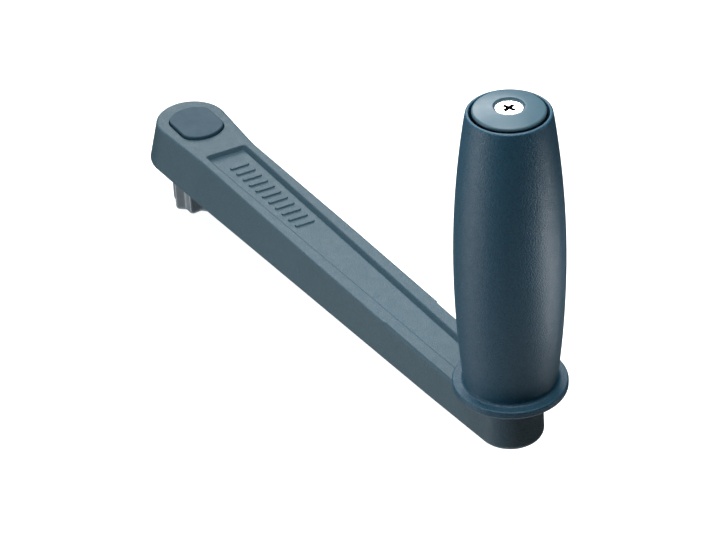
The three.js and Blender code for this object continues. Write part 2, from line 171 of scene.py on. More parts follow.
def polar(radius, degrees, x=0.0):
    angle = math.radians(degrees)
    return x + radius * math.cos(angle), radius * math.sin(angle)


def circle(radius, z, x=0.0, facets=FACETS, start=0.0):
    return [(*polar(radius, start + 360 * i / facets, x), z) for i in range(facets)]


def steps(first, last, count):
    return [first + (last - first) * i / count for i in range(count + 1)]


def between(x, start, end):
    """The point at x on the straight line between two points."""
    share = (x - start[0]) / (end[0] - start[0])
    return x, start[1] + (end[1] - start[1]) * share


def rounded(corners, closed=False, count=5):
    """A path through (a, b, radius) corners, with an arc at each corner that has a radius."""
    path = []
    for i, (a, b, radius) in enumerate(corners):
        if radius == 0 or (not closed and i in (0, len(corners) - 1)):
            path.append((a, b))
            continue
        here = Vector((a, b))
        back = (Vector(corners[i - 1][:2]) - here).normalized()
        ahead = (Vector(corners[(i + 1) % len(corners)][:2]) - here).normalized()
        half = back.angle(ahead) / 2
        middle = here + (back + ahead).normalized() * radius / math.sin(half)
        first = here + back * radius / math.tan(half) - middle
        last = here + ahead * radius / math.tan(half) - middle
        sweep = math.pi - 2 * half
        for share in steps(0, 1, count):
            spoke = first * math.sin((1 - share) * sweep) + last * math.sin(share * sweep)
            path.append(tuple(middle + spoke / math.sin(sweep)))
    return path


def mirrored(half, shared_ends):
    """A ring from its +Y half. The half's ends may lie on the centre line and be shared."""
    other = half[-2:0:-1] if shared_ends else half[::-1]
    return half + [(x, -y, z) for x, y, z in other]


def square_radius(degrees, flats, corner, turn=0.0):
    """Radius at an angle of a square across flats whose corners are cut to a radius."""
    folded = (degrees - turn + 45) % 90 - 45
    return min(corner, flats / 2 / math.cos(math.radians(folded)))


# ---- materials ----------------------------------------------------------------------
class Look:
    """A node material on object coordinates, which are metres in the part's frame."""

    def __init__(self, name, roughness, metallic=0.0, specular=0.5):
        self.material = bpy.data.materials.new(name)
        self.material.use_nodes = True
        self.nodes = self.material.node_tree.nodes
        self.links = self.material.node_tree.links
        self.shader = self.nodes["Principled BSDF"]
        self.shader.inputs["Roughness"].default_value = roughness
        self.shader.inputs["Metallic"].default_value = metallic
        self.shader.inputs["Specular IOR Level"].default_value = specular
        self.place = self.nodes.new("ShaderNodeTexCoord").outputs["Object"]
        self.last_bump = None

    def noise(self, scale, detail=2.0, stretch=(1, 1, 1)):
        """Noise with features of 1 / scale metres."""
        mapping = self.nodes.new("ShaderNodeMapping")
        mapping.inputs["Scale"].default_value = stretch
        self.links.new(self.place, mapping.inputs["Vector"])
        noise = self.nodes.new("ShaderNodeTexNoise")
        noise.inputs["Scale"].default_value = scale
        noise.inputs["Detail"].default_value = detail
        self.links.new(mapping.outputs["Vector"], noise.inputs["Vector"])
        return noise.outputs["Fac"]

    def ramp(self, factor, stops):
        ramp = self.nodes.new("ShaderNodeValToRGB")
        elements = ramp.color_ramp.elements
        while len(elements) < len(stops):
            elements.new(0.5)
        for element, (position, color) in zip(elements, stops):
            element.position = position
            element.color = (*color, 1)
        self.links.new(factor, ramp.inputs["Fac"])
        return ramp.outputs["Color"]

    def color(self, factor, dark, light, spread=(0.3, 0.7)):
        stops = [(spread[0], dark), (spread[1], light)]
        self.links.new(self.ramp(factor, stops), self.shader.inputs["Base Color"])

    def rough(self, factor, smooth, coarse):
        stops = [(0.3, (smooth,) * 3), (0.7, (coarse,) * 3)]
        self.links.new(self.ramp(factor, stops), self.shader.inputs["Roughness"])

    def bump(self, factor, depth, strength=1.0):
        """Relief of a depth in millimetres, on top of any earlier relief."""
        bump = self.nodes.new("ShaderNodeBump")
        bump.inputs["Strength"].default_value = strength
        bump.inputs["Distance"].default_value = depth * MM
        self.links.new(factor, bump.inputs["Height"])
        if self.last_bump:
            self.links.new(self.last_bump, bump.inputs["Normal"])
        self.last_bump = bump.outputs["Normal"]
        self.links.new(self.last_bump, self.shader.inputs["Normal"])


def shade(color, factor):
    return tuple(channel * factor for channel in color)


def moulded(name, color, roughness, grain, relief, specular=0.5, vary=0.06):
    """Moulded plastic: spark-eroded grain that catches the light, and patchy gloss."""
    look = Look(name, roughness, specular=specular)
    # base colour speckled at the grain's scale: random tone of the grain, and where vary is large also painted
    # glints standing in for light sparkling off the grain
    look.color(look.noise(grain, 2), shade(color, 1 - vary), shade(color, 1 + vary))
    look.rough(look.noise(260, 3), roughness - 0.05, roughness + 0.05)
    look.bump(look.noise(grain, 2), relief)
    return look.material


def turned_metal(name, color, roughness, metallic=1.0, lines=5200):
    """Machined metal with fine tool lines that run round the part."""
    look = Look(name, roughness, metallic)
    look.color(look.noise(140, 3), shade(color, 0.93), shade(color, 1.05))
    look.rough(look.noise(700, 2), roughness - 0.06, roughness + 0.08)
    look.bump(look.noise(lines, 1, (0.05, 0.05, 1)), 0.01)
    return look.material


# the arm's and grip's large speckle (0.14, 0.25) is partly painted glint on the spark-eroded grain
ARM_PLASTIC = moulded("arm_plastic", (0.061, 0.126, 0.166), 0.52, 1700, 0.2, 0.5, 0.14)
GRIP_PLASTIC = moulded("grip_plastic", (0.02, 0.092, 0.153), 0.46, 1700, 0.24, 0.55, 0.25)
BOSS_CAP_PLASTIC = moulded("boss_cap_plastic", (0.035, 0.088, 0.13), 0.6, 3000, 0.02, 0.35)
END_CAP_PLASTIC = moulded("end_cap_plastic", (0.074, 0.148, 0.195), 0.38, 3000, 0.008, 0.5)
BEARING_PLASTIC = moulded("bearing_plastic", (0.7, 0.68, 0.6), 0.42, 3500, 0.01)
CORE_PLASTIC = moulded("core_plastic", (0.03, 0.033, 0.037), 0.6, 1800, 0.04)
SEAL_RUBBER = moulded("seal_rubber", (0.012, 0.013, 0.014), 0.75, 1500, 0.03)
FLOAT_FOAM = moulded("float_foam", (0.8, 0.76, 0.64), 0.95, 900, 0.3)
SPIGOT_ALLOY = turned_metal("spigot_alloy", (0.33, 0.385, 0.42), 0.5, 0.75)
STAINLESS_STEEL = turned_metal("stainless_steel", (0.62, 0.63, 0.64), 0.28)
POLISHED_STEEL = turned_metal("polished_steel", (0.93, 0.93, 0.93), 0.2)
# near-black steel for the faces inside the screws' cross recesses: painted shade for the dark of the deep recess
RECESS_SHADE_STEEL = turned_metal("recess_shade_steel", (0.03, 0.03, 0.032), 0.5)


# ---- the arm ------------------------------------------------------------------------
TIP_STEPS = 20
BOSS_STEPS = 30
EDGE_STEPS = 5
STEP_FAR, STEP_NEAR = STEP_X + STEP_LENGTH / 2, STEP_X - STEP_LENGTH / 2
BAND_FAR, BAND_NEAR = BAND_X + BAND_LENGTH / 2, BAND_X - BAND_LENGTH / 2
SIDE_X = (TIP_EDGE_X, STEP_FAR, STEP_NEAR, BAND_FAR, BAND_NEAR, BAR_X, KINK_X, CREST_X, FOLD_X)
STATIONS = ([("tip", angle) for angle in steps(0, 90, TIP_STEPS)]
            + [("side", x) for x in SIDE_X]
            + [("boss", share) for share in steps(0, 1, BOSS_STEPS)])
HALF = len(STATIONS)
RING = 2 * HALF - 2


def top_point(station, inset):
    """A point of the arm's top outline: round tip, tapering bar, kink, neck, round boss."""
    kind, where = station
    tip, bar, boss = TIP_TOP - inset, BAR_TOP - inset, BOSS_TOP - inset
    neck = math.degrees(math.atan2(bar, KINK_X) + math.acos(boss / math.hypot(bar, KINK_X)))
    if kind == "tip":
        return polar(tip, where, THROW)
    if kind == "boss":
        return polar(boss, neck + (180 - neck) * where)
    if where < KINK_X:
        return between(where, polar(boss, neck), (KINK_X, bar))
    return where, bar + (tip - bar) * max(0, where - BAR_X) / (THROW - BAR_X)


def sole_point(station, inset):
    """A point of the arm's bottom outline: two circles and the lines that touch both."""
    kind, where = station
    tip, boss = TIP_SOLE - inset, BOSS_SOLE - inset
    touch = math.degrees(math.acos((boss - tip) / THROW))
    if kind == "tip":
        return polar(tip, touch * where / 90, THROW)
    if kind == "boss":
        return polar(boss, touch + (180 - touch) * where)
    return between(where, polar(tip, touch, THROW), polar(boss, touch))


def sole_z(x):
    return ARM_RISE * max(0, x - FOLD_X) / (THROW + TIP_SOLE - FOLD_X)


def top_z(x):
    return ARM_TOP + CREST_SLOPE * max(0, CREST_X - x) + (STEP if x > STEP_X else 0)


def fade(x, start, end):
    return min(1, max(0, (x - start) / (end - start)))


def sole_edge(x, share):
    """Inset and height of the round along the bottom edge."""
    radius = 1.7 + 0.9 * fade(x, THROW - 30, THROW)
    angle = share * math.pi / 2
    return radius * (1 - math.sin(angle)), radius * (1 - math.cos(angle))


def top_edge(x, share):
    """Inset and drop of the top edge: a round as far as the band, then a flat bevel."""
    if x > BAND_X:
        tip = fade(x, TIP_EDGE_X, THROW)
        return (1.0 - 0.7 * tip) * share, (1.5 - 1.0 * tip) * (1 - share)
    radius = 1.6 - 0.7 * fade(x, 0, 50)
    angle = share * math.pi / 2
    return radius * (1 - math.cos(angle)), radius * (1 - math.sin(angle))


def arm_rings():
    """Rings up the outside of the arm, from the bottom face to the top face."""
    rings = []
    for share in steps(0, 1, EDGE_STEPS):
        half = []
        for station in STATIONS:
            inset, rise = sole_edge(sole_point(station, 0)[0], share)
            x, y = sole_point(station, inset)
            half.append((x, y, sole_z(x) + rise))
        rings.append(mirrored(half, True))
    for share in steps(0, 1, EDGE_STEPS):
        half = []
        for station in STATIONS:
            inset, drop = top_edge(top_point(station, 0)[0], share)
            x, y = top_point(station, inset)
            half.append((x, y, top_z(x) - drop))
        rings.append(mirrored(half, True))
    return rings


# the long recess in the top
PANEL_END, PANEL_START = 233.0, 30.8
PANEL_END_HALF, PANEL_START_HALF = 6.4, 10.0
PANEL_DEPTH, PANEL_WALL = 2.3, 1.5
PANEL_SKEW = 0.08  # the boss end's wall is slightly askew
PANEL_CORNER = 1.6
PANEL_MIDDLE = 70  # one more point on the long wall
PANEL_CORNER_STEPS = 5
PANEL_STEP = PANEL_CORNER_STEPS + 2  # index of the first point on the boss's side of the step
PANEL_TURN = PANEL_STEP + 3  # index of the first point of the corner at the boss end


def panel_half(spread):
    """The recess's +Y outline from the grip end to the boss end."""
    end, start = PANEL_END + spread, PANEL_START - spread / 2
    end_half, start_half = PANEL_END_HALF + spread, PANEL_START_HALF + spread
    side = ((end, end_half), (start, start_half))
    middle = [between(x, *side) for x in (STEP_FAR, STEP_NEAR, BAR_X, PANEL_MIDDLE)]
    corner = max(0.6, PANEL_CORNER + spread / 2)
    turn_end = rounded([(end, 0, 0), (end, end_half, corner), middle[0] + (0,)],
                       count=PANEL_CORNER_STEPS)
    turn_start = rounded([middle[-1] + (0,), (start, start_half, corner), (start, 0, 0)],
                         count=PANEL_CORNER_STEPS)
    return turn_end[1:-1] + middle + turn_start[1:-1]


def panel_rings():
    profile = rounded([(2, 0, 0), (0, 0, 1.2), (-PANEL_WALL, -PANEL_DEPTH, 0.4),
                       (-PANEL_WALL - 1, -PANEL_DEPTH, 0)], count=5)[1:-1]
    rings = []
    for spread, height in profile:
        left = 1 + height / PANEL_DEPTH
        ring = []
        for x, y, _ in mirrored([(*point, 0) for point in panel_half(spread)], False):
            x += PANEL_SKEW * y if x < KINK_X + 2 else 0
            ring.append((x, y, ARM_TOP + (top_z(x) - ARM_TOP) * left + height))
        rings.append(ring)
    return rings


# plain raised bars on the floor of the recess
BARS = 11
BAR_FIRST, BAR_PITCH = 43.3, 5.6
BAR_LONG, BAR_WIDE, BAR_HIGH, BAR_SLANT = 9.4, 2.0, 0.8, 5


def bar_ring(x, grow, z):
    """The outline of one bar with half-round ends, slanted across the arm."""
    radius = BAR_WIDE / 2 + grow
    reach = BAR_LONG / 2 - BAR_WIDE / 2
    turn = Matrix.Rotation(math.radians(-BAR_SLANT), 2)
    ring = []
    for side, centre in ((0, reach), (180, -reach)):
        for angle in steps(side, side + 180, 6):
            across, along = polar(radius, angle)
            ring.append((*(turn @ Vector((across, along + centre)) + Vector((x, 0))), z))
    return ring


CAP_X, CAP_RADIUS, CAP_FLAT, CAP_CORNER = 4.7, 12.8, 10.4, 6.0
CAP_PROUD, CAP_SKIN = 1.4, 1.8
CAP_STEPS = 8


def cap_outline(grow):
    """The boss cap's outline: a circle with flats along the arm and soft corners."""
    radius, flat = CAP_RADIUS + grow, CAP_FLAT + grow
    high_y = flat - CAP_CORNER
    along = math.sqrt((radius - CAP_CORNER) ** 2 - high_y ** 2)
    turn = math.degrees(math.atan2(high_y, along))
    quarter = [polar(radius, angle) for angle in steps(0, turn, CAP_STEPS)]
    for angle in steps(turn, 90, CAP_STEPS)[1:]:
        x, y = polar(CAP_CORNER, angle, along)
        quarter.append((x, y + high_y))
    half = quarter + [(-x, y) for x, y in quarter[::-1]]
    return [(x + CAP_X, y) for x, y in half + [(x, -y) for x, y in half[-2:0:-1]]]


def level(outline, z):
    return [(x, y, z) for x, y in outline]


def above_top(outline, height):
    return [(x, y, top_z(x) + height) for x, y in outline]


# rooms under the arm
PLATE = {"start": 27.0, "inset": 2.8, "thick": 1.8}
SEAL_THICK = 0.6
CEILING = PLATE["thick"] + SEAL_THICK + 2 * GAP
CELLS = ((36, 92), (100, 160), (168, 228))
CELL_TOP = 14.0
COVER_SCREWS_X = (31.5, 96.0, 164.0, 237.0)
SCREW_HOLE = 1.8
SHANK_TOP = high("drive_spigot").z
CAP_HOLLOW = 7.4
NUT_ROOM, NUT_ROOM_TOP = 8.3, 13.8
STUD_HOLE = 4.3
SHANK = {"flats": 11.4, "corner": 7.0}
COLLAR = {"flats": 21.0, "corner": 13.2, "thick": 2.6}
SEAT_LEAST = 12.0  # the collar's seat is opened to at least this radius, for the O-ring's room
SEAL_ROOM, SEAL_ROOM_TOP = 11.9, 5.0
CAP_SEAT_DEPTH = 3.0
SCREW_HOLE_DEPTH = 10.0


def above_sole(outline, height):
    return [(x, y, sole_z(x) + height) for x, y in outline]


def plate_outline(inset, start):
    """The cover plate's outline: the arm's bottom outline set in, square at the boss end."""
    tip = [sole_point(("tip", angle), inset) for angle in steps(0, 90, TIP_STEPS)]
    touch, far = tip[-1], sole_point(("side", FOLD_X), inset)
    side = [between(x, touch, far) for x in (180, 110, start + 2)]
    corner = rounded([(*side[-1], 0), (*between(start, touch, far), 1.2), (start, 0, 0)])
    half = tip + side + corner[1:-1]
    return half + [(x, -y) for x, y in half[:0:-1]]


def cell_outline(span, clearance):
    """One pocket's outline, with rounded corners."""
    first, last = span[0] + clearance, span[1] - clearance
    sizes = [12.2 - 0.01 * (x - CELLS[0][0]) - clearance for x in (first, last)]
    return rounded([(first, -sizes[0], 3), (last, -sizes[1], 3), (last, sizes[1], 3),
                    (first, sizes[0], 3)], closed=True)


def square_ring(size, grow, z, facets=FACETS, turn=0.0):
    angles = [360 * i / facets for i in range(facets)]
    return [(*polar(square_radius(angle, size["flats"] + 2 * grow, size["corner"] + grow, turn),
                    angle), z) for angle in angles]


def arm_body():
    skin = Skin()
    sole, edge = skin.wall(arm_rings())

    # top: recess, its bars, the cap's seat and the pad under the grip
    rim, floor = skin.wall(panel_rings())
    floor_z = ARM_TOP - PANEL_DEPTH
    bars = []
    for i in range(BARS):
        x = BAR_FIRST + BAR_PITCH * i
        profile = [(0.3, 0), (0.1, 0.06), (0, 0.25), (-0.1, BAR_HIGH - 0.12), (-0.28, BAR_HIGH)]
        foot, crest = skin.wall([bar_ring(x, grow, floor_z + z) for grow, z in profile])
        skin.fill(crest)
        bars.append(foot)
    skin.fill(floor, *bars)
    seat_z = ARM_TOP - CAP_SEAT_DEPTH
    seat_profile = [(0.7, 0), (0.42, -0.1), (0.3, -0.4)]
    seat_rings = [above_top(cap_outline(grow), height) for grow, height in seat_profile]
    seat_rim, seat = skin.wall(seat_rings + [level(cap_outline(GAP), seat_z)])
    lifted = STATIONS.index(("side", STEP_FAR))
    even = lifted + 1
    crest = STATIONS.index(("side", CREST_X))
    last = len(rim) - 1
    skin.fill(edge[crest:RING - crest + 1] + rim[PANEL_TURN:last - PANEL_TURN + 1][::-1], seat_rim)
    skin.fill(edge[even:crest + 1] + rim[PANEL_STEP:PANEL_TURN + 1][::-1])
    skin.fill(edge[RING - crest:RING - even + 1]
              + rim[last - PANEL_TURN:last - PANEL_STEP + 1][::-1])
    pad_foot = [edge[i % RING] for i in range(RING - TIP_STEPS, RING + TIP_STEPS + 1)]
    inner = skin.loop([(*polar(PAD_FOOT, angle, THROW), top_z(THROW))
                       for angle in steps(90, 270, 2 * TIP_STEPS)[1:-1]])
    skin.fill(edge[RING - lifted:RING - TIP_STEPS] + pad_foot[:1] + inner[::-1]
              + edge[TIP_STEPS:lifted + 1]
              + rim[:PANEL_STEP][::-1] + rim[last - PANEL_STEP + 1:][::-1])
    for a, b in ((lifted, PANEL_STEP - 1), (RING - lifted, last - PANEL_STEP + 1)):
        step = 1 if a == lifted else -1
        skin.face((edge[a], edge[a + step], rim[b + step], rim[b]))
    pad_base = top_z(THROW)
    pad_rows = rounded([(PAD_FOOT - 0.25, pad_base + 0.2, 0), (PAD_FOOT - 0.4, pad_base + 1, 0),
                        (PAD_HEAD, PAD_TOP, 0.5), (PAD_HEAD - 2, PAD_TOP, 0)])[:-1]
    pad_rings = [circle(radius, z, THROW, 4 * TIP_STEPS, -90) for radius, z in pad_rows]
    pad_top = skin.wall(pad_rings, pad_foot + inner)[1]

    # underneath: collar seat and spigot hole in the boss
    boss_outline = [(*polar(max(SEAT_LEAST, square_radius(angle, COLLAR["flats"] + 2 * GAP,
                                                          COLLAR["corner"] + GAP)), angle), 0)
                    for angle in steps(0, 360, FACETS)[:-1]]
    seat_low = COLLAR["thick"] + GAP
    collar_rim, shank_mouth = skin.wall([
        boss_outline, [(x, y, seat_low) for x, y, _ in boss_outline],
        circle(SEAL_ROOM, seat_low), circle(SEAL_ROOM, SEAL_ROOM_TOP),
        square_ring(SHANK, GAP, SEAL_ROOM_TOP), square_ring(SHANK, GAP, SHANK_TOP),
        circle(CAP_HOLLOW, SHANK_TOP), circle(CAP_HOLLOW, seat_z),
    ])
    skin.fill(seat, shank_mouth)
    fold = STATIONS.index(("side", FOLD_X))
    skin.fill(sole[fold:RING - fold + 1], collar_rim)

    # the rebate for the cover plate, with its pockets, screw holes and nut room
    rebate = plate_outline(PLATE["inset"] - GAP, PLATE["start"] - GAP)
    rebate_rim, ceiling = skin.wall([above_sole(rebate, height)
                                     for height in (0, CEILING)])
    skin.fill(sole[RING - fold:] + sole[:fold + 1], rebate_rim)
    rooms = []
    for span in CELLS:
        outline = cell_outline(span, 0)
        mouth, end = skin.wall([above_sole(outline, CEILING),
                                [(x, y, CELL_TOP) for x, y in outline]])
        skin.fill(end)
        rooms.append(mouth)
    for x in COVER_SCREWS_X:
        top = sole_z(x) + SCREW_HOLE_DEPTH
        mouth, end = skin.wall([above_sole([p[:2] for p in circle(SCREW_HOLE, 0, x, 24)], CEILING),
                                circle(SCREW_HOLE, top, x, 24)])
        skin.fill(end)
        rooms.append(mouth)
    nut_room = [p[:2] for p in circle(NUT_ROOM, 0, THROW, SMALL_FACETS)]
    nut_rings = [circle(radius, z, THROW, SMALL_FACETS) for radius, z in
                 ((NUT_ROOM, NUT_ROOM_TOP), (STUD_HOLE, NUT_ROOM_TOP), (STUD_HOLE, PAD_TOP))]
    mouth, stud = skin.wall([above_sole(nut_room, CEILING)] + nut_rings)
    rooms.append(mouth)
    skin.fill(ceiling, *rooms)
    skin.fill(pad_top, stud)
    skin.piece("arm_body", ARM_PLASTIC)


arm_body()


# ---- pieces on the arm ----------------------------------------------------------------
def boss_cap():
    skin = Skin()
    foot = low("boss_cap").z
    profile = rounded([(0, 0, 0), (0, CAP_PROUD, 0.6), (-4, CAP_PROUD, 0)])[:-1]
    rings = [level(cap_outline(-0.3), foot), level(cap_outline(0), foot + 0.3)]
    mouth, crown = skin.wall(rings + [above_top(cap_outline(grow), z) for grow, z in profile])
    skin.fill(crown)
    roof_z = ARM_TOP + CAP_PROUD - CAP_SKIN
    rim, roof = skin.wall([circle(CAP_HOLLOW - GAP, z) for z in (foot, roof_z)])
    skin.fill(mouth, rim)
    skin.fill(roof)
    skin.piece("boss_cap", BOSS_CAP_PLASTIC)


STAR_FLATS, STAR_CORNER, STAR_SOFT = 17.46, 11.9, 0.16


def star_radius(degrees):
    """Radius of the eight-point star: two squares at 45 degrees, softened at every corner."""
    squares = [STAR_FLATS / 2 / math.cos(math.radians((degrees - turn + 45) % 90 - 45))
               for turn in (0, 45)]
    outer = STAR_SOFT * math.log(sum(math.exp(radius / STAR_SOFT) for radius in squares))
    return -STAR_SOFT * math.log(math.exp(-outer / STAR_SOFT) + math.exp(-STAR_CORNER / STAR_SOFT))


STAR_ANGLES = [45 * octant + turn for octant in range(8)
               for turn in (-22.5, -21.5, -20, -17, -12, -7, -4.5, -3.2, -2.2, -1.2, 0,
                            1.2, 2.2, 3.2, 4.5, 7, 12, 17, 20, 21.5)]


def star_ring(inset, nose, z):
    """A ring of the spigot, set in, and held inside the round nose."""
    ring = []
    for angle in STAR_ANGLES:
        ring.append((*polar(min(star_radius(angle) - inset, nose), angle), z))
    return ring


def drive_spigot():
    skin = Skin()
    end = low("drive_spigot").z

    def square(size, grow, z):
        return [(*polar(square_radius(angle, size["flats"] + 2 * grow, size["corner"] + grow),
                        angle), z) for angle in STAR_ANGLES]

    def hole(radius, z):
        return [(*polar(radius, angle), z) for angle in STAR_ANGLES]

    fillet = [(0.9 * (1 - math.cos(angle)), 0.9 * (1 - math.sin(angle)))
              for angle in steps(0, math.pi / 2, 5)]
    nose = STAR_CORNER
    rings = [hole(3.3, 1), hole(3.3, SHANK_TOP), square(SHANK, -0.5, SHANK_TOP),
             square(SHANK, 0, SHANK_TOP - 0.5), square(SHANK, 0, COLLAR["thick"]),
             square(COLLAR, -0.2, COLLAR["thick"]), square(COLLAR, 0, COLLAR["thick"] - 0.2),
             square(COLLAR, 0, 0.2), square(COLLAR, -0.2, 0), star_ring(0, nose, 0)]
    rings.append(star_ring(0, nose, end + 2.4))
    rings += [star_ring(inset, nose - 1.3 * (inset / 0.9), end + rise * 2.2)
              for inset, rise in fillet]
    rings += [hole(2.2, end), hole(0.9, end + 1.6)]
    first, tail = skin.wall(rings)
    skin.fill(first)
    skin.fill(tail)
    skin.piece("drive_spigot", SPIGOT_ALLOY)


def bottom_cover():
    skin = Skin()
    thick = PLATE["thick"]
    profile = rounded([(2, 0, 0), (0, 0, 0.5), (0, thick, 0.2), (1, thick, 0)])[1:-1]
    rings = [above_sole(plate_outline(PLATE["inset"] + inset, PLATE["start"] + inset), height)
             for inset, height in profile]
    bottom, top = skin.wall(rings)
    below, above = [], []
    for x in COVER_SCREWS_X:
        sizes = ((3.4, 0), (3.3, 0.15), (1.8, 1.65), (1.8, thick))
        mouth, throat = skin.wall([
            above_sole([p[:2] for p in circle(radius, 0, x, 32)], height)
            for radius, height in sizes])
        below.append(mouth)
        above.append(throat)
    skin.fill(bottom, *below)
    skin.fill(top, *above)
    skin.piece("bottom_cover", ARM_PLASTIC)


def cover_gasket():
    skin = Skin()
    low_z = PLATE["thick"] + GAP
    outer = plate_outline(PLATE["inset"], PLATE["start"])
    inner = plate_outline(4.8, 29)
    rims = [skin.wall([above_sole(line, low_z), above_sole(line, low_z + SEAL_THICK)])
            for line in (outer, inner)]
    for face in (0, 1):
        skin.fill(rims[0][face], rims[1][face])
    skin.piece("cover_gasket", SEAL_RUBBER)


def cross_ring(reach, half, x, z, turn, tip=0.25):
    """The outline of a cross recess with slightly rounded arms."""
    ring = []
    for quarter in range(4):
        corners = [(reach, -half, tip * half), (reach, half, tip * half), (half, half, tip * half)]
        previous = (half, -half, 0)
        following = (half, reach, 0)
        path = rounded([previous, *corners, following], count=3)[1:-1]
        for a, b in path:
            radius, angle = math.hypot(a, b), math.degrees(math.atan2(b, a))
            ring.append((*polar(radius, angle + 90 * quarter + turn, x), z))
    return ring


def screw(node, x, up, head_z, shape, look, turn):
    """A countersunk screw whose head faces up or down, with a cross recess."""
    skin = Skin()
    way = 1 if up else -1
    head, shank, cone, reach = (shape[key] for key in ("head", "shank", "cone", "reach"))
    length = shape["length"]
    facets = 48
    # head face, from its rim to the recess
    rim = skin.loop(circle(head - 0.15, head_z, x, facets))
    half = reach * 0.3
    mouth = skin.loop(cross_ring(reach, half, x, head_z, turn))
    skin.fill(rim, mouth)
    # the recess walls and floor take the second material, near-black painted shade
    skin.tone = 1
    _, floor = skin.wall([
        cross_ring(reach * 0.97, half * 0.94, x, head_z - way * 0.12, turn),
        cross_ring(reach * 0.6, half * 0.75, x, head_z - way * shape["deep"], turn)], mouth)
    skin.fill(floor)
    skin.tone = 0
    rows = [(head, head_z - way * 0.12), (head, head_z - way * 0.3), (shank, head_z - way * cone)]
    thread_end = head_z - way * (length - 1.2)
    z = head_z - way * (cone + 0.6)
    pitch = shape["pitch"]
    while way * (z - thread_end) > pitch:
        rows += [(shank, z), (shank - pitch * 0.5, z - way * pitch / 2)]
        z -= way * pitch
    rows += [(shank, z), (shank * 0.55, head_z - way * length)]
    tail = skin.wall([circle(radius, z, x, facets) for radius, z in rows], rim)[1]
    skin.fill(tail)
    # the second material is the painted shade of the cross recess
    skin.piece(node, look, RECESS_SHADE_STEEL)


def cover_screws():
    shape = {"head": 2.9, "shank": 1.5, "length": 9, "cone": 1.5, "reach": 1.7, "deep": 1.0,
             "pitch": 0.8}
    for i, x in enumerate(COVER_SCREWS_X):
        screw(f"cover_screw_{i + 1}", x, False, sole_z(x) + 0.2, shape, STAINLESS_STEEL,
              20 + 31 * i)


def float_cores():
    for i, span in enumerate(CELLS):
        skin = Skin()
        floor = sole_z(span[1]) + CEILING + GAP
        top = CELL_TOP - 0.5
        profile = rounded([(3, floor, 0), (0.5, floor, 0.8), (0.5, top, 0.8), (3, top, 0)])[1:-1]
        rings = [[(x, y, z) for x, y in cell_outline(span, clearance)] for clearance, z in profile]
        bottom, crown = skin.wall(rings)
        skin.fill(bottom)
        skin.fill(crown)
        skin.piece(f"float_core_{i + 1}", FLOAT_FOAM)


boss_cap()
drive_spigot()
bottom_cover()
cover_gasket()
cover_screws()
float_cores()


# ---- the grip -------------------------------------------------------------------------
GRIP_FOOT, GRIP_TOP = low("grip_shell").z, high("grip_shell").z
BELLY, BELLY_Z, BELOW, ABOVE = 21.5, 84.3, 480, 430
FLANGE = high("grip_shell").y
FLANGE_TOP = GRIP_FOOT + 3.3
WELL, WELL_FLOOR = 14.84, 140.2


def barrel_radius(z):
    """The barrel swells on two arcs that meet at the belly."""
    return BELLY - (z - BELLY_Z) ** 2 / (2 * (BELOW if z < BELLY_Z else ABOVE))


def grip_shell():
    skin = Skin()
    foot = barrel_radius(FLANGE_TOP)
    flange = rounded([
        (13.9, GRIP_FOOT, 0), (FLANGE, GRIP_FOOT, 0.8), (FLANGE, FLANGE_TOP, 0.8),
        (foot, FLANGE_TOP, 1.4), (barrel_radius(FLANGE_TOP + 4), FLANGE_TOP + 4, 0),
    ])
    barrel = [(barrel_radius(z), z) for z in steps(FLANGE_TOP + 4, GRIP_TOP - 3, 40)]
    lip = rounded([
        (barrel_radius(GRIP_TOP - 3), GRIP_TOP - 3, 0),
        (barrel_radius(GRIP_TOP) - 0.1, GRIP_TOP, 0.9),
        (WELL, GRIP_TOP, 0.45), (WELL, WELL_FLOOR - 3, 0),
    ])
    inside = [(barrel_radius(z) - 2.8, z) for z in steps(WELL_FLOOR - 6, GRIP_FOOT + 8, 16)]
    tail = [(13.9, GRIP_FOOT + 4)]
    skin.turn(flange[:-1] + barrel[:-1] + lip + inside + tail, THROW, closed=True)
    skin.piece("grip_shell", GRIP_PLASTIC)


def end_cap():
    skin = Skin()
    foot, crown = low("end_cap").z, high("end_cap").z
    radius, hole, neck, edge_round = 13.87, 5.92, 12.0, 1.1
    edge = crown - 1.3
    shoulder = radius - edge_round

    def dome(r):
        return crown - (crown - edge) * (r ** 2 - hole ** 2) / (shoulder ** 2 - hole ** 2)

    top = [(r, dome(r)) for r in steps(shoulder, hole + 0.35, 12)]
    profile = [(3.3, foot), (neck - 0.4, foot), (neck, foot + 0.4), (neck, edge - 2 * edge_round)]
    for angle in steps(-90, 75, 9):
        out, up = polar(edge_round, angle, shoulder)
        profile.append((out, edge - edge_round + up))
    seat = high("end_cap_screw").z
    profile += top + [(hole + 0.1, crown - 0.05), (hole, crown - 0.25), (hole - 0.25, seat - 0.1),
                      (3.3, seat - 2.8)]
    skin.turn(profile, THROW, closed=True)
    skin.piece("end_cap", END_CAP_PLASTIC)


def end_cap_screw():
    foot, top = low("end_cap_screw").z, high("end_cap_screw").z
    shape = {"head": 5.28, "shank": 3.0, "length": top - foot, "cone": 2.5, "reach": 2.7,
             "deep": 1.7, "pitch": 1.0}
    screw("end_cap_screw", THROW, True, top, shape, POLISHED_STEEL, 15)


grip_shell()
end_cap()
end_cap_screw()


# ---- inner pieces ---------------------------------------------------------------------
def ring_piece(node, inner, look, x=THROW):
    """A washer or bush with broken edges."""
    foot, top = low(node), high(node)
    outer, bevel = (top.x - foot.x) / 2, 0.15
    profile = [(inner + bevel, foot.z), (outer - bevel, foot.z), (outer, foot.z + bevel),
               (outer, top.z - bevel), (outer - bevel, top.z), (inner + bevel, top.z),
               (inner, top.z - bevel), (inner, foot.z + bevel)]
    skin = Skin()
    skin.turn(profile, x, closed=True, facets=SMALL_FACETS)
    skin.piece(node, look)


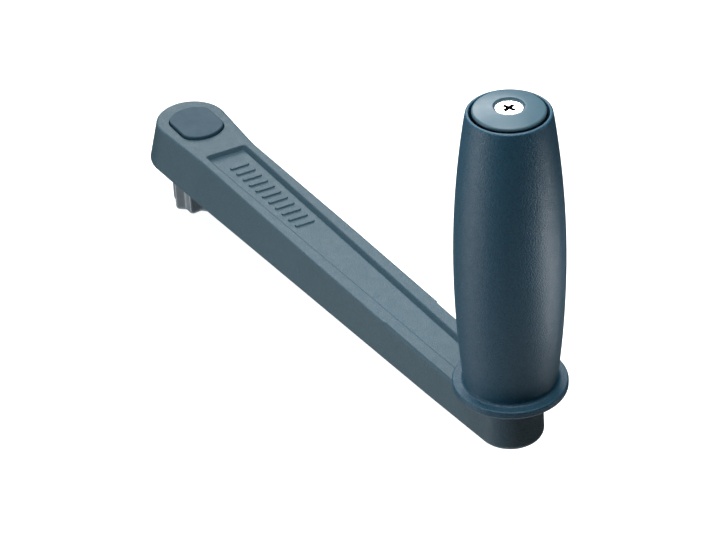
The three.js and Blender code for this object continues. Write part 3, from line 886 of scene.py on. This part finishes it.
ring_piece("spigot_washer", 3.3, STAINLESS_STEEL, 0)
ring_piece("spindle_washer", 4.3, STAINLESS_STEEL)
ring_piece("thrust_washer", 8.8, BEARING_PLASTIC)
ring_piece("lower_bush", 6.8, BEARING_PLASTIC)
ring_piece("wave_washer", 6.8, STAINLESS_STEEL)
ring_piece("retaining_washer", 3.3, STAINLESS_STEEL)


def o_ring():
    skin = Skin()
    foot, top = low("spigot_o_ring"), high("spigot_o_ring")
    wire = (top.z - foot.z) / 2
    middle = (top.x - foot.x) / 2 - wire
    section = [polar(wire, angle, middle) for angle in steps(0, 360, 20)[:-1]]
    skin.turn([(radius, z + foot.z + wire) for radius, z in section], closed=True)
    skin.piece("spigot_o_ring", SEAL_RUBBER)


o_ring()

for node, look in (("spigot_screw", STAINLESS_STEEL), ("spindle", STAINLESS_STEEL),
                   ("spindle_nut", STAINLESS_STEEL), ("grip_core", CORE_PLASTIC),
                   ("upper_bush", BEARING_PLASTIC)):
    thing = frame["nodes"][node]
    thing.data.materials.clear()
    thing.data.materials.append(look)


# ---- stage ----------------------------------------------------------------------------
TARGET = Vector((0.144, 0, 0.018))
GRIP_MIDDLE = (0.254, 0, 0.1)
CAMERA_AZIMUTH, CAMERA_ELEVATION, CAMERA_ROLL = -31.13, 35.21, -2.62
CAMERA_AIM, CAMERA_DISTANCE, CAMERA_LENS = (0.14408, 0, 0.0179), 1.1006, 130.03
# how bright the room is at each share of the way from straight down to straight up
ROOM = ((0, 1.6), (0.12, 0.25), (0.25, 0.055), (0.5, 0.015))


def floor():
    """A pale glowing sheet that the handle stands on. It is clear from below."""
    size, z = 6.0, low("drive_spigot").z * MM
    mesh = bpy.data.meshes.new("floor")
    mesh.from_pydata([(-size, -size, z), (size, -size, z), (size, size, z), (-size, size, z)], [],
                     [(0, 1, 2, 3)])
    look = Look("floor_paper", 0.9, specular=0.0)
    look.shader.inputs["Base Color"].default_value = (0.8, 0.8, 0.8, 1)
    look.shader.inputs["Emission Color"].default_value = (1, 1, 1, 1)
    look.shader.inputs["Emission Strength"].default_value = 0.95
    clear = look.nodes.new("ShaderNodeBsdfTransparent")
    side = look.nodes.new("ShaderNodeNewGeometry")
    mix = look.nodes.new("ShaderNodeMixShader")
    output = look.nodes["Material Output"]
    look.links.new(side.outputs["Backfacing"], mix.inputs["Fac"])
    look.links.new(look.shader.outputs["BSDF"], mix.inputs[1])
    look.links.new(clear.outputs["BSDF"], mix.inputs[2])
    look.links.new(mix.outputs["Shader"], output.inputs["Surface"])
    mesh.materials.append(look.material)
    thing = bpy.data.objects.new("floor", mesh)
    thing.visible_diffuse = False
    thing.visible_glossy = False
    thing.visible_shadow = False
    bpy.context.scene.collection.objects.link(thing)


def softbox(name, aim, turn, elevation, distance, size, power, spread=180):
    """A rectangular light that faces a point, turned about it from the camera's side."""
    a, e = math.radians(CAMERA_AZIMUTH + turn), math.radians(elevation)
    away = Vector((math.cos(a) * math.cos(e), math.sin(a) * math.cos(e), math.sin(e)))
    light = bpy.data.lights.new(name, "AREA")
    light.shape = "RECTANGLE"
    light.size, light.size_y = size
    light.energy = power
    light.spread = math.radians(spread)
    thing = bpy.data.objects.new(name, light)
    thing.location = Vector(aim) + away * distance
    thing.rotation_mode = "QUATERNION"
    thing.rotation_quaternion = away.to_track_quat("Z", "Y")
    bpy.context.scene.collection.objects.link(thing)


def lights():
    """A room that is dim above and pale below, and four softboxes."""
    world = bpy.data.worlds.new("studio")
    world.use_nodes = True
    nodes, links = world.node_tree.nodes, world.node_tree.links
    direction = nodes.new("ShaderNodeTexCoord").outputs["Generated"]
    height = nodes.new("ShaderNodeSeparateXYZ")
    room = nodes.new("ShaderNodeValToRGB")
    scale = nodes.new("ShaderNodeMath")
    scale.operation = "MULTIPLY_ADD"
    scale.inputs[1].default_value = 0.5
    scale.inputs[2].default_value = 0.5
    links.new(direction, height.inputs["Vector"])
    links.new(height.outputs["Z"], scale.inputs[0])
    links.new(scale.outputs["Value"], room.inputs["Fac"])
    stops = room.color_ramp.elements
    for share, _ in ROOM[1:-1]:
        stops.new(share)
    for stop, (share, level_of_light) in zip(stops, ROOM):
        stop.position = share
        stop.color = (level_of_light * 0.95, level_of_light, level_of_light * 1.04, 1)
    links.new(room.outputs["Color"], nodes["Background"].inputs["Color"])
    bpy.context.scene.world = world
    softbox("key", TARGET, -168, 35, 3.0, (1.9, 1.5), 50)
    softbox("top", (0.5, 0, 0), -138, 74, 0.8, (0.6, 0.6), 6.6)
    softbox("left", GRIP_MIDDLE, -82, -14, 1.4, (0.45, 0.9), 8)
    softbox("right", GRIP_MIDDLE, 83, -30, 0.7, (0.14, 0.06), 0.015, spread=9)
    bpy.context.scene.view_settings.view_transform = "Standard"


def camera():
    azimuth, elevation, roll = (math.radians(angle) for angle in
                                (CAMERA_AZIMUTH, CAMERA_ELEVATION, CAMERA_ROLL))
    back = Vector((math.cos(azimuth) * math.cos(elevation),
                   math.sin(azimuth) * math.cos(elevation), math.sin(elevation)))
    right = Vector((-math.sin(azimuth), math.cos(azimuth), 0))
    up = back.cross(right)
    turned_right = right * math.cos(roll) + up * math.sin(roll)
    turned_up = up * math.cos(roll) - right * math.sin(roll)
    data = bpy.data.cameras.new("camera")
    data.lens = CAMERA_LENS
    thing = bpy.data.objects.new("camera", data)
    pose = Matrix((turned_right, turned_up, back)).transposed().to_4x4()
    pose.translation = Vector(CAMERA_AIM) + back * CAMERA_DISTANCE
    thing.matrix_world = pose
    bpy.context.scene.collection.objects.link(thing)
    bpy.context.scene.camera = thing


floor()
lights()
camera()
